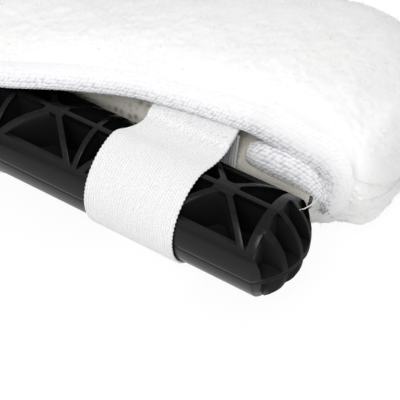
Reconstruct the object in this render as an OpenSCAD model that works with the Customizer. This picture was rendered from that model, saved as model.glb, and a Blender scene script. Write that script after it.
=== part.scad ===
// T-bar window scrubber: a moulded lattice bar, a swivelling grip handle and a pile sleeve that is
// held to the bar by two elastic loops. Lengths are in millimetres. The origin is on the floor under
// the middle of the bar, +X runs along the bar, +Y points away from the handle and +Z is up.

/* [Lattice bar] */
// Outer diameter of the bar
bar_d = 36; // [30:0.5:44]
// Pitch of the cross ribs along the bar
bay = 35; // [28:0.5:42]
// Number of open bays on each side of the hub
bays = 4; // [3:1:5]
// Thickness of the moulded ribs
rib = 1.9; // [1.4:0.1:2.6]
// Thickness of the web that lies in the middle of the bar
web = 2.2; // [1.6:0.1:3]
// Thickness of the side walls at their open edge
wall = 1.8; // [1.2:0.1:2.6]
// Angle from the crest of the bar to the edge of its open side
open_angle = 55; // [45:1:62]
// Diameter of the small boss where the diagonal ribs cross
star_d = 4.5; // [3:0.1:7]
// Thickness of the closed rib that ends the lattice
end_rib = 3.3; // [2:0.1:5]
// Radius of the rounded end of the bar
dome_r = 22.8; // [21:0.1:26]
// How far the rounded end reaches past the last rib
dome_len = 9.5; // [6:0.1:12]
// Distance between the fins in the rounded end
fin_gap = 8; // [6:0.1:9]

/* [Hub and swivel] */
// Length of the closed hub along the bar
hub_w = 43.7; // [38:0.1:52]
// Distance from the bar's axis to the swivel pin
pivot_out = 40; // [37:0.5:50]
// Width of the two ears that carry the pin
ear_w = 28; // [24:0.5:32]
// Thickness of each ear
ear_t = 4.4; // [3.5:0.1:6]
// Thickness of the tongue between the ears
tongue_t = 11.6; // [9:0.1:14]
// Width of the tongue
tongue_w = 20; // [18:0.5:22]
// Diameter of the swivel pin
pin_d = 6; // [5:0.1:8]
// Thickness of the wear washers
washer_t = 0.8; // [0.6:0.1:1.2]
// Diameter of the wear washers
washer_d = 19; // [16:0.5:20]
// Width across the flats of the pin's head
head_af = 10; // [9:0.1:13]
// Height of the pin's head
head_h = 4; // [3:0.1:5]
// Diameter of the tension knob
knob_d = 23; // [20:0.5:26]
// Height of the tension knob
knob_h = 12; // [10:0.5:16]
// Number of finger lobes round the knob
knob_lobes = 6; // [5:1:8]
// Diameter of the brass nut in the knob
nut_d = 10; // [9:0.1:12]

/* [Handle] */
// Distance from the pin to the collar of the swivel head
collar_at = 18; // [17:0.5:24]
// Length of the collar of the swivel head
collar_len = 16; // [10:0.5:24]
// Outer diameter of the handle tube and of the collar
tube_d = 27; // [24:0.5:32]
// Wall of the handle tube
tube_wall = 2.4; // [1.8:0.1:3.2]
// Length of the handle tube
tube_len = 126; // [105:1:160]
// Length of the spigot that holds the tube
spigot_len = 20; // [14:1:26]
// Diameter of the heads of the two screws in the tube
screw_head_d = 6; // [5:0.1:7]
// Thread diameter of the two screws in the tube
screw_d = 3; // [2.5:0.1:4]
// Length of tube left bare in front of the grip
bare_len = 15; // [12:1:24]
// Thickness of the rubber grip at its thinnest
grip_t = 2.4; // [1.8:0.1:4]
// How far the grip swells in the middle
grip_swell = 1.8; // [0:0.1:3]
// Number of grooves round the grip
grip_grooves = 11; // [5:1:14]
// Depth of the grooves
groove_depth = 1.1; // [0.5:0.1:1.5]
// Length of the ring behind the grip
ring_len = 9; // [6:0.5:14]
// Bore for the tip of an extension pole
pole_d = 19; // [17:0.5:20]
// Depth of that bore
pole_depth = 60; // [40:1:80]
// Thickness of the flange at the mouth of the bore
flange_t = 2; // [1.5:0.1:3]

/* [Elastic loops] */
// Width of the elastic
strap_w = 36.5; // [25:0.5:45]
// Distance from the tip of the bar to the outer edge of the elastic
strap_inset = 38.8; // [30:0.5:60]
// Thickness of the elastic
strap_t = 1.2; // [0.8:0.1:2]
// Number of stitch rows that close each loop
tack_rows = 2; // [1:1:3]

/* [Sleeve] */
// Thickness of the pile fabric on the upper side
pile_t = 8; // [6:0.5:11]
// Thickness of the pile pressed flat underneath
base_t = 5.6; // [4.5:0.1:8]
// Thickness of the knitted lining
lining_t = 0.8; // [0.5:0.1:1.2]
// How far the pocket reaches past the tip of the bar
pocket_extra = 0.6; // [0.5:0.1:5]
// How far the closed end of the sleeve reaches past its pocket
end_len = 9; // [7:0.5:18]
// Visible width of the binding tape
tape_w = 10; // [8:0.5:12]
// Thickness of the bound edge of the sleeve
tape_t = 5; // [3.5:0.1:6]
// Depth of the sleeve behind the bar at its ends
sleeve_depth = 92; // [75:1:105]
// Depth of the sleeve behind the bar in the middle
sleeve_waist = 48; // [40:1:60]
// Height of the crown of the sleeve over the bar's crest
crown = 8; // [4:0.5:14]

/* [Hidden] */
$fn = 48;

// Clearances
fit_gap = 0.05;
loose = 0.2;
cloth_gap = 0.3;
bolt_gap = 0.2;

// Bar
bar_r = bar_d / 2;
axis_z = bar_r + base_t + 2 * loose;
lattice_half = hub_w / 2 + bays * bay;
end_x = lattice_half - rib / 2 + end_rib;
bar_half = end_x + dome_len;
open_y = bar_r * sin(open_angle);
open_z = bar_r * cos(open_angle);
wall_in = open_y - wall;
ledge_gap = 0.15;
end_wall = 1.4 * wall;
big_r = bar_r + 2;

// Swivel
ear_in = tongue_t / 2 + washer_t + 2 * fit_gap;
ear_out = ear_in + ear_t;
knob_z = ear_out + washer_t + 2 * fit_gap;
lobe_r = 0.14 * knob_d;
lobe_at = knob_d / 2 - lobe_r;
core_r = 0.41 * knob_d;
nut_len = 0.7 * knob_h;
nut_room = nut_len + 1.2;

// Handle, as distances from the pin towards the user
tube_at = collar_at + collar_len + loose;
tube_end = tube_at + tube_len;
tube_r = tube_d / 2;
tube_in = tube_r - tube_wall;
grip_at = tube_at + bare_len;
flange_at = tube_end + fit_gap;
ring_at = tube_end - ring_len;
grip_len = ring_at - loose - grip_at;
grip_r = tube_r + loose / 2 + grip_t;
screw_at = tube_at + (bare_len - 1) / 2;

// Elastic, as a loop in the Y-Z plane that leaves the bar at two angles
strap_far = bar_half - strap_inset;
strap_in = bar_r + loose;
strap_out = strap_in + strap_t;
lift_top = 92;
lift_back = -12;
tab_y = bar_r + tape_w;
stitch_w = 0.8;
stitch_t = 0.5;
stitch_pitch = 1.6;
stitch_in = 1.2;

// Sleeve
pocket_half = bar_half + pocket_extra;
tape_full = 0.13;
upper_pull = 16;
lower_pull = 14;
skin_steps = 16;
stations = 28;

// The bound edges of the slit along the sleeve. Each row holds the share of the bar's half length,
// the angle and distance from the bar's axis and the slope into the sleeve, for the upper edge and
// then for the lower one.
EDGES = [
    [0.00, 135, bar_r + 10.3, 60, 219, bar_r + 9.5, -45],
    [0.15, 117, bar_r + 6.5, 42, 240, bar_r + 4.2, -25],
    [0.29, 91, bar_r + 4.6, 30, 264, bar_r + 3.2, -5],
    [0.43, 67, bar_r + 8.6, 42, 300, bar_r + 4.2, -10],
    [0.57, 52, bar_r + 13.7, 50, 320, bar_r + 9.5, -28],
    [0.78, 45.5, bar_r + 18, 50, 325, bar_r + 12, -32],
    [0.83, 39, bar_r + 17.8, 52, 328, bar_r + 12, -38],
    [0.92, 31, bar_r + 16.3, 60, 337, bar_r + 11.5, -52],
    [1.00, 18, bar_r + 13, 75, 352, bar_r + 13.8, -72],
    [1.03, 14, bar_r + 12, 80, 354, bar_r + 13.8, -76]
];

// The back of the sleeve. Each row holds the share of the bar's half length, the reach behind the
// bar's axis, the height of the back edge, the pull up to the crown and the pull down to the floor.
BACK = [
    [0.00, bar_r + sleeve_waist, -4, bar_r + crown, -2 * bar_r],
    [0.29, bar_r + sleeve_waist + (sleeve_depth - sleeve_waist) * 0.32, -4, bar_r + crown, -2 * bar_r],
    [0.57, bar_r + sleeve_waist + (sleeve_depth - sleeve_waist) * 0.8, -3, bar_r + crown + 1, -2 * bar_r],
    [0.78, bar_r + sleeve_depth, -2, bar_r + crown + 6, -2 * bar_r],
    [0.90, bar_r + sleeve_depth - 3, -1, bar_r + crown + 5, -1.6 * bar_r],
    [1.01, bar_r + sleeve_depth - 16, -1, bar_r + crown - 6, -0.5 * bar_r]
];

// The closed end: shares of its length, and of the section's width and height there
ENDS = [[0.4, 0.92, 0.86], [0.75, 0.78, 0.68], [1, 0.5, 0.36]];

// A smooth curve through column c of table T at u
function row_of(T, u, i = 0) = i >= len(T) - 2 || u < T[i + 1][0] ? i : row_of(T, u, i + 1);
function slope_at(T, i, c) =
    i == 0 || i == len(T) - 1 ? 0 : (T[i + 1][c] - T[i - 1][c]) / (T[i + 1][0] - T[i - 1][0]);
function along(T, u, c) =
    let(i = row_of(T, u), w = T[i + 1][0] - T[i][0], t = min(1, max(0, (u - T[i][0]) / w)))
    T[i][c] * (2 * pow(t, 3) - 3 * t * t + 1) + T[i + 1][c] * (3 * t * t - 2 * pow(t, 3))
    + w * slope_at(T, i, c) * (pow(t, 3) - 2 * t * t + t) + w * slope_at(T, i + 1, c) * (pow(t, 3) - t * t);
function unit(a) = [cos(a), sin(a)];
function bezier(a, b, c, d, t) =
    a * pow(1 - t, 3) + b * 3 * t * pow(1 - t, 2) + c * 3 * t * t * (1 - t) + d * pow(t, 3);

// Middle of the upper (side 1) or lower (side 4) bound edge, and its slope into the sleeve, at x
function edge_mid(x, side) =
    let(u = abs(x) / bar_half) unit(along(EDGES, u, side)) * along(EDGES, u, side + 1);
function edge_slope(x, side) = along(EDGES, abs(x) / bar_half, side + 2);

// Half width of the tape, which lies fuller near the ends of the upper edge
function tape_half(x, side) =
    tape_w / 2 * (1 + (side == 1 ? tape_full : 0) * min(1, max(0, 5 * abs(x) / bar_half - 3.5)));

// Middle line of the sleeve's wall at x, from the upper edge (s = 0) over the back (s = 0.5) to the
// lower edge (s = 1). It lies flat on the floor where its own weight presses it.
function wall_t(s) = s < 0.4 ? pile_t : s > 0.6 ? base_t : pile_t + (base_t - pile_t) * (s - 0.4) / 0.2;
function wall_mid(x, s) =
    let(
        u = abs(x) / bar_half,
        up = unit(edge_slope(x, 1)),
        low = unit(edge_slope(x, 4)),
        start = edge_mid(x, 1) + up * (tape_half(x, 1) + 2 * cloth_gap),
        end = edge_mid(x, 4) + low * (tape_half(x, 4) + 2 * cloth_gap),
        back = [along(BACK, u, 1), along(BACK, u, 2)],
        p = s < 0.5
            ? bezier(start, start + up * upper_pull, [back[0], along(BACK, u, 3)], back, 2 * s)
            : bezier(back, [back[0], along(BACK, u, 4)], end + low * lower_pull, end, 2 * s - 1)
    )
    [p[0], max(p[1], wall_t(s) / 2 - axis_z)];
function wall_out(x, s) =
    let(d = wall_mid(x, min(1, s + 0.01)) - wall_mid(x, max(0, s - 0.01))) [-d[1], d[0]] / norm(d);

// A point off the middle line by h of the wall's half thickness and by a further e millimetres
function wall_point(x, s, h, e = 0) =
    let(p = wall_mid(x, s) + wall_out(x, s) * (h * wall_t(s) / 2 + e))
    [x, p[0], max(0, p[1] + axis_z)];

// Two triangles for each cell between point rings a and b, which start at those indices. A turned
// cell is split along its other diagonal.
function band(a, b, k, n, turned = false) =
    let(m = (k + 1) % n)
    turned ? [[a + k, a + m, b + k], [a + m, b + m, b + k]] : [[a + k, a + m, b + m], [a + k, b + m, b + k]];
function flat_list(v) = [for (group = v) for (item = group) item];

// Cylinder that runs towards the user, and a plate with a round end about the pin
module towards_user(r, from, to) {
    translate([0, -pivot_out - from, axis_z]) rotate([90, 0, 0]) cylinder(r = r, h = to - from);
}
module pin_plate(width, reach, z, t) {
    translate([0, -pivot_out, axis_z + z]) {
        cylinder(d = width, h = t);
        translate([-width / 2, 0, 0]) cube([width, reach, t]);
    }
}

// Plan of the six pockets of a bay, which leave two diagonal ribs and one along the bar
module bay_pockets() {
    half = rib / 2;
    slant = half * sqrt(2);
    near = star_d / 2 + rib / 4;
    far = (bay - rib) / 2;
    edge = open_y - ledge_gap;
    for (turn = [0, 180]) rotate(turn)
        polygon([[near - slant, near], [edge - slant, edge], [slant - edge, edge], [slant - near, near]]);
    for (sx = [0, 1]) for (sy = [0, 1]) mirror([sx, 0]) mirror([0, sy])
        polygon([[near + slant, half], [far, half], [far, min(edge, far - slant)],
            [min(edge, far - slant) + slant, min(edge, far - slant)], [near + slant, near]]);
}

// Plan of the openings of one side: the bays, the cored hub and the end between its fins
module side_pockets() {
    core_x = (hub_w - 5 * rib) / 2;
    for (i = [0:bays - 1]) translate([hub_w / 2 + (i + 0.5) * bay, 0]) bay_pockets();
    for (side = [0, 1]) mirror([0, side]) {
        translate([rib, rib / 2]) square([core_x, wall_in - rib]);
        translate([end_x, rib / 2]) square([dome_len + 2, fin_gap - rib]);
        translate([end_x, fin_gap + rib / 2]) square([dome_len + 2, bar_r - end_wall - fin_gap - rib / 2]);
    }
}

// The full bar with its two rounded ends, turned about its axis
module bar_blank() {
    steps = 8;
    start = asin(bar_r / dome_r);
    arc = [for (i = [0:steps]) let(a = start * (1 - i / steps))
        [dome_r * sin(a), bar_half + dome_r * (cos(a) - 1)]];
    mirrored = [for (i = [steps:-1:0]) [arc[i][0], -arc[i][1]]];
    rotate([0, 90, 0]) rotate_extrude($fn = 96) polygon(concat(arc, mirrored));
}

module bar_form() {
    difference() {
        bar_blank();
        for (up = [0, 1]) for (left = [0, 1]) mirror([left, 0, 0]) mirror([0, 0, up])
            translate([0, 0, web / 2]) linear_extrude(big_r) side_pockets();
    }
    for (side = [-1, 1])
        translate([0, side * (wall_in + open_y - ledge_gap / 2) / 2, 0])
            cube([2 * end_x - rib, open_y - ledge_gap / 2 - wall_in, 2 * open_z], center = true);
}

module lattice_bar() {
    color("#1d1d1f") difference() {
        union() {
            translate([0, 0, axis_z]) bar_form();
            pin_plate(ear_w, pivot_out - wall_in, ear_in, ear_t);
            pin_plate(ear_w, pivot_out - wall_in, -ear_out, ear_t);
        }
        translate([0, -pivot_out, 0]) cylinder(d = pin_d + 2 * fit_gap, h = 2 * axis_z);
    }
}

module ring(r_out, r_in, z, h) {
    translate([0, -pivot_out, axis_z + z]) difference() {
        cylinder(r = r_out, h = h);
        translate([0, 0, -1]) cylinder(r = r_in, h = h + 2);
    }
}

module pivot_bolt() {
    color("#b9bcc0") {
        translate([0, -pivot_out, axis_z - ear_out - head_h]) {
            cylinder(d = head_af / cos(30), h = head_h, $fn = 6);
            cylinder(d = pin_d, h = head_h + ear_out + knob_z + nut_len);
        }
    }
}

module wear_washers() {
    color("#d8d9d6") for (z = [-ear_in + fit_gap, tongue_t / 2 + fit_gap])
        ring(washer_d / 2, pin_d / 2 + bolt_gap, z, washer_t);
}

module knob_washer() {
    color("#b9bcc0") ring(washer_d / 2, pin_d / 2 + bolt_gap, ear_out + fit_gap, washer_t);
}

module tension_knob() {
    color("#232325") translate([0, -pivot_out, axis_z + knob_z]) difference() {
        union() {
            cylinder(r = core_r, h = knob_h);
            for (i = [0:knob_lobes - 1])
                rotate([0, 0, i * 360 / knob_lobes])
                    translate([lobe_at, 0, 0]) cylinder(r = lobe_r, h = knob_h);
        }
        translate([0, 0, -1]) cylinder(d = nut_d + 2 * fit_gap, h = nut_room + 1);
    }
}

module knob_nut() {
    color("#b08d45") ring(nut_d / 2, pin_d / 2 + fit_gap, knob_z, nut_len);
}

module swivel_head() {
    color("#1d1d1f") difference() {
        union() {
            translate([0, -pivot_out, axis_z - tongue_t / 2]) {
                cylinder(d = tongue_w, h = tongue_t);
                translate([-tongue_w / 2, -collar_at - 1, 0]) cube([tongue_w, collar_at + 1, tongue_t]);
            }
            towards_user(tube_r, collar_at, tube_at - loose);
            towards_user(tube_in - fit_gap, tube_at - loose - 1, tube_at + spigot_len);
        }
        translate([0, -pivot_out, 0]) cylinder(d = pin_d + 2 * fit_gap, h = 2 * axis_z);
        translate([0, -pivot_out - screw_at, 0]) cylinder(d = screw_d + 2 * fit_gap, h = 2 * axis_z);
    }
}

module screw_hole(r, depth) {
    for (side = [0, 180]) translate([0, -pivot_out - screw_at, axis_z]) rotate([side, 0, 0])
        translate([0, 0, tube_r - depth]) cylinder(r = r, h = depth + 1);
}

module handle_tube() {
    color("#1f1f21") difference() {
        towards_user(tube_r, tube_at, tube_end);
        towards_user(tube_in, tube_at - 1, tube_end + 1);
        screw_hole(screw_d / 2 + fit_gap, tube_wall + 1);
        screw_hole(screw_head_d / 2 + fit_gap, tube_wall / 2);
    }
}

module handle_screws() {
    color("#b9bcc0") for (side = [0, 180])
        translate([0, -pivot_out - screw_at, axis_z]) rotate([side, 0, 0]) {
            translate([0, 0, tube_r - tube_wall / 2 + fit_gap])
                cylinder(d = screw_head_d, h = tube_wall / 2 - fit_gap);
            translate([0, 0, 1]) cylinder(d = screw_d, h = tube_r - tube_wall / 2);
        }
}

// Half section of the grip, with a groove at every step along it
module grip_profile() {
    pitch = grip_len / grip_grooves;
    inner = tube_r + loose / 2;
    outer = [for (i = [0:grip_grooves - 1]) for (c = [[0.12, 0], [0.3, 1], [0.7, 1], [0.88, 0]])
        [grip_r - groove_depth * (1 - c[1]) + grip_swell * sin(180 * (i + c[0]) / grip_grooves),
            (i + c[0]) * pitch]];
    polygon(concat([[inner, 0], [grip_r - groove_depth, 0]], outer,
        [[grip_r - groove_depth, grip_len], [inner, grip_len]]));
}

module rubber_grip() {
    color("#3a3b3e") translate([0, -pivot_out - grip_at, axis_z]) rotate([90, 0, 0])
        rotate_extrude($fn = 72) grip_profile();
}

module grip_ring() {
    color("#1d1d1f") difference() {
        towards_user(grip_r, ring_at, tube_end - fit_gap);
        towards_user(tube_r + fit_gap, ring_at - 1, tube_end + 1);
    }
}

module pole_socket() {
    color("#2a2a2c") difference() {
        union() {
            towards_user(tube_in - fit_gap, tube_end + flange_t - pole_depth, flange_at + 0.5);
            towards_user(grip_r, flange_at, tube_end + flange_t);
        }
        towards_user(pole_d / 2, tube_end - pole_depth, tube_end + flange_t + 1);
    }
}

// Closed solid between the offsets h_out and h_in of the wall. It leaves out the last "skip" stations
// at each end. The pocket's ends get a rounded end where "closed" is true, and are open otherwise.
module sleeve_skin(h_out, e_out, h_in, e_in, skip, closed) {
    n = skin_steps + 1;
    m = 2 * n;
    last = stations - 2 * skip;
    reach = pocket_half * last / stations;
    xs = [for (j = [0:last]) reach * (2 * j / last - 1)];
    rings = [for (x = xs) concat(
        [for (k = [0:n - 1]) wall_point(x, k / skin_steps, h_out, e_out)],
        [for (k = [0:n - 1]) wall_point(x, 1 - k / skin_steps, h_in, e_in)])];
    // Rounded ends, on the outer line alone
    function shrunk(side, share) =
        let(
            x = side * reach,
            line = [for (k = [0:n - 1]) wall_point(x, k / skin_steps, h_out, e_out)],
            ys = [for (p = line) p[1]],
            cy = (min(ys) + max(ys)) / 2,
            cz = axis_z - bar_r / 3
        )
        [for (p = line) [side * (reach + share[0] * end_len), cy + (p[1] - cy) * share[1],
            cz + (p[2] - cz) * share[2]]];
    ends = closed ? [for (side = [-1, 1]) for (share = ENDS) shrunk(side, share)] : [];
    base = len(xs) * m;
    count = len(ENDS);
    points = concat(flat_list(rings), flat_list(ends));
    sides = [for (j = [0:last - 1]) for (k = [0:m - 1]) each band(j * m, (j + 1) * m, k, m, k >= n)];
    low_end = [for (k = [0:n - 1]) each band(base, 0, k, n)];
    low_more = [for (e = [1:count - 1]) for (k = [0:n - 1])
        each band(base + e * n, base + (e - 1) * n, k, n)];
    top = base + count * n;
    top_end = [for (k = [0:n - 1]) each band(last * m, top, k, n)];
    top_more = [for (e = [1:count - 1]) for (k = [0:n - 1]) each band(top + (e - 1) * n, top + e * n, k, n)];
    pocket = concat([0], [for (k = [m - 1:-1:n]) k], [n - 1]);
    caps = closed
        ? [
            [for (i = pocket) i],
            [for (i = [len(pocket) - 1:-1:0]) pocket[i] + last * m],
            [for (k = [n - 1:-1:0]) base + (count - 1) * n + k],
            [for (k = [0:n - 1]) top + (count - 1) * n + k]
        ]
        : [[for (k = [m - 1:-1:0]) k], [for (k = [0:m - 1]) last * m + k]];
    faces = closed ? concat(sides, low_end, low_more, top_end, top_more, caps) : concat(sides, caps);
    polyhedron(points = points, faces = faces, convexity = 10);
}

module pile_sleeve() {
    color("#f6f6f5") sleeve_skin(1, 0, -1, lining_t + 2 * cloth_gap, 0, true);
}

module sleeve_lining() {
    color("#b9b6ac") sleeve_skin(-1, lining_t, -1, 0, 1, false);
}

// Bound edge of the slit: an oval tape roll that follows the sleeve's edge
module binding(side) {
    sides = 10;
    steps = 44;
    reach = pocket_half - cloth_gap;
    points = [for (j = [0:steps]) let(x = reach * (2 * j / steps - 1), c = edge_mid(x, side),
            d = unit(edge_slope(x, side)))
        for (k = [0:sides - 1]) let(a = -360 * k / sides,
            p = c + d * cos(a) * tape_half(x, side) + [-d[1], d[0]] * sin(a) * tape_t / 2)
            [x, p[0], max(0, p[1] + axis_z)]];
    faces = concat(
        [for (j = [0:steps - 1]) for (k = [0:sides - 1]) each band(j * sides, (j + 1) * sides, k, sides)],
        [[for (k = [sides - 1:-1:0]) k], [for (k = [0:sides - 1]) steps * sides + k]]);
    polyhedron(points = points, faces = faces, convexity = 8);
}

module upper_binding() { color("#fbfbfd") binding(1); }
module lower_binding() { color("#fbfbfd") binding(4); }

// Where the line from p at angle a crosses the line from q at angle b
function meet(p, a, q, b) = p + unit(a) * cross(q - p, unit(b)) / cross(unit(a), unit(b));

// Elastic loop: round the bar, with two runs that meet under the upper edge of the sleeve
module elastic_loop() {
    turns = [for (a = [lift_top:4:360 + lift_back]) a];
    top = strap_in * unit(lift_top);
    reach = tab_y * unit(lift_top - 90);
    function lift(r) = meet(r * unit(lift_back), lift_back + 90, top, lift_top - 90);
    outer = concat([for (a = turns) strap_out * unit(a)],
        [lift(strap_out), top + reach, strap_out * unit(lift_top) + reach]);
    inner = concat([for (a = turns) strap_in * unit(a)], [lift(strap_in)]);
    translate([strap_far - strap_w, 0, axis_z]) rotate([90, 0, 90]) difference() {
        linear_extrude(strap_w) polygon(outer);
        translate([0, 0, -1]) linear_extrude(strap_w + 2) polygon(inner);
    }
}

module right_elastic() { color("#f2f2f2") elastic_loop(); }
module left_elastic() { color("#f2f2f2") mirror([1, 0, 0]) elastic_loop(); }

// Rows of stitching that close a loop, on the underside of its upper run
module stitch_rows() {
    for (i = [0:tack_rows - 1])
        translate([strap_far - strap_w + 1, 0, axis_z]) rotate([90, 0, 90]) linear_extrude(strap_w - 2)
            translate(strap_in * unit(lift_top))
                rotate(lift_top - 90)
                    translate([tab_y - stitch_in - stitch_pitch * i, -stitch_t - fit_gap])
                        square([stitch_w, stitch_t]);
}

module right_tack() { color("#e6e6ea") stitch_rows(); }
module left_tack() { color("#e6e6ea") mirror([1, 0, 0]) stitch_rows(); }

lattice_bar();
pivot_bolt();
wear_washers();
knob_washer();
tension_knob();
knob_nut();
swivel_head();
handle_tube();
handle_screws();
rubber_grip();
grip_ring();
pole_socket();
pile_sleeve();
sleeve_lining();
upper_binding();
lower_binding();
right_elastic();
left_elastic();
right_tack();
left_tack();
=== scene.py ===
import math

import bmesh
import bpy
from mathutils import Matrix, Vector, noise


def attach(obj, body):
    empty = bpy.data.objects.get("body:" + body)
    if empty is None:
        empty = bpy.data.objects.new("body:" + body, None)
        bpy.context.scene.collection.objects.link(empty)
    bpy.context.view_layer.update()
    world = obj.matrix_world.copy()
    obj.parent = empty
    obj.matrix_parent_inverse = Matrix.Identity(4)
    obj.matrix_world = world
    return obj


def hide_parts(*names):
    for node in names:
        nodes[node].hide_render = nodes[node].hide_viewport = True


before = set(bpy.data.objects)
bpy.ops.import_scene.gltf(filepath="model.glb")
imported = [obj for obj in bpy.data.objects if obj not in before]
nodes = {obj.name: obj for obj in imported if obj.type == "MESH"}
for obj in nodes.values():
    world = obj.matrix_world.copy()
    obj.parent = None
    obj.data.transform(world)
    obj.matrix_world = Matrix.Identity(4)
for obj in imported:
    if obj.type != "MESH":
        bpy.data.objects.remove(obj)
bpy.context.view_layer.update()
mm = 0.001
print("frame loaded")


def linear(hexText):
    parts = [int(hexText[i:i + 2], 16) / 255 for i in (1, 3, 5)]
    return [c / 12.92 if c <= 0.04045 else ((c + 0.055) / 1.055) ** 2.4 for c in parts] + [1.0]


# Adds one node to any node tree. A socket among the inputs is linked, anything else is set.
def addNode(tree, kind, inputs=None, **settings):
    node = tree.nodes.new(kind)
    for key, value in settings.items():
        setattr(node, key, value)
    for key, value in (inputs or {}).items():
        if isinstance(value, bpy.types.NodeSocket):
            tree.links.new(value, node.inputs[key])
        else:
            node.inputs[key].default_value = value
    return node


def newMaterial(name, **sockets):
    material = bpy.data.materials.new(name)
    material.use_nodes = True
    tree = material.node_tree
    shader = tree.nodes["Principled BSDF"]
    for key, value in sockets.items():
        shader.inputs[key.replace("_", " ")].default_value = value
    return material, tree, shader


def ramp(tree, factor, stops):
    node = addNode(tree, "ShaderNodeValToRGB", {"Fac": factor})
    while len(node.color_ramp.elements) < len(stops):
        node.color_ramp.elements.new(0.5)
    for element, (place, hexText) in zip(node.color_ramp.elements, stops):
        element.position = place
        element.color = linear(hexText)
    return node.outputs["Color"]


def finishPiece(obj, body, slotName, replaced=(), sharpAngle=None):
    obj.data.shade_smooth()
    if sharpAngle:
        obj.data.set_sharp_from_angle(angle=math.radians(sharpAngle))
    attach(obj, body)
    if replaced:
        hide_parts(*replaced)
    return obj


def meshObject(name, bm, material):
    mesh = bpy.data.meshes.new(name)
    bm.to_mesh(mesh)
    bm.free()
    obj = bpy.data.objects.new(name, mesh)
    bpy.context.scene.collection.objects.link(obj)
    mesh.materials.append(material)
    return obj


def spread(low, high, count):
    return [low + (high - low) * i / count for i in range(count + 1)]


def easy(low, high, value):
    t = min(1.0, max(0.0, (value - low) / (high - low)))
    return t * t * (3 - 2 * t)


# A smooth line through points, at a share of their count
def lineAt(points, share):
    k = min(len(points) - 2, int(share * (len(points) - 1)))
    t = share * (len(points) - 1) - k

    def at(i):
        return Vector(points[min(len(points) - 1, max(0, i))])

    a, b, c, d = at(k - 1), at(k), at(k + 1), at(k + 2)
    return 0.5 * (2 * b + (c - a) * t + (2 * a - 5 * b + 4 * c - d) * t * t
                  + (3 * b - a - 3 * c + d) * t ** 3)


def lineLengths(points):
    total = [0.0]
    for a, b in zip(points, points[1:]):
        total.append(total[-1] + (b - a).length)
    return total


# The last row of a grid that is closed round its section lies on the first
def closedShare(b):
    return b if b < 0.9999 else 0.0


# A grid laid over the surface that "place" gives for shares a and b, each from 0 to 1. Its uv map
# "weave" holds what uvOf gives, and its attribute "level" what levelOf gives.
def laidGrid(stepsA, stepsB, place, uvOf=None, levelOf=None):
    bm = bmesh.new()
    bmesh.ops.create_grid(bm, x_segments=stepsA, y_segments=stepsB, size=0.5)
    level = bm.verts.layers.float.new("level") if levelOf else None
    shares = {v: (v.co.x + 0.5, v.co.y + 0.5) for v in bm.verts}
    if uvOf:
        layer = bm.loops.layers.uv.new("weave")
        for face in bm.faces:
            for loop in face.loops:
                loop[layer].uv = uvOf(*shares[loop.vert])
    for v, (a, b) in shares.items():
        v.co = place(a, b) * mm
        if levelOf:
            v[level] = levelOf(a, b)
    return bm


def closeShell(bm):
    bmesh.ops.remove_doubles(bm, verts=bm.verts, dist=1e-6)
    bmesh.ops.holes_fill(bm, edges=[e for e in bm.edges if e.is_boundary])
    bmesh.ops.recalc_face_normals(bm, faces=bm.faces)
    bm.normal_update()


# Adds the mesh of one bmesh to another, and frees the first
def pour(bm, part):
    scrap = bpy.data.meshes.new("scrap")
    part.to_mesh(scrap)
    part.free()
    bm.from_mesh(scrap)
    bpy.data.meshes.remove(scrap)


camera = {
    "place": (0.31581, -0.25962, 0.37138),
    "right": (0.83235, 0.55376, -0.02311),
    "up": (-0.39323, 0.61942, 0.67948),
    "forward": (-0.39059, 0.55648, -0.73333),
    "lens": 124.74,
}


def addCamera():
    data = bpy.data.cameras.new("photoCamera")
    data.lens = camera["lens"]
    data.sensor_width = 36
    data.clip_end = 20
    obj = bpy.data.objects.new("photoCamera", data)
    columns = [Vector(camera["right"]), Vector(camera["up"]), -Vector(camera["forward"])]
    turn = Matrix(columns).transposed().to_4x4()
    obj.matrix_world = Matrix.Translation(camera["place"]) @ turn
    bpy.context.scene.collection.objects.link(obj)
    bpy.context.scene.camera = obj


studio = {
    "floor": "#f4f4f3",
    "floorShare": 0.9,
    "floorGlow": 1.03,
    "floorHalf": 4.0,
    "aim": (0.08, 0, 0.03),
    "world": 0.5,
    "lamps": [
        ((0.7, -0.2, 1.6), 1.0, 3.6),
        ((0.3, -1.0, 1.25), 0.8, 10.5),
        ((-0.7, -1.3, 0.9), 1.4, 1.8),
        ((-0.2, 1.2, 1.3), 1.2, 1.6),
    ],
}


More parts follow.
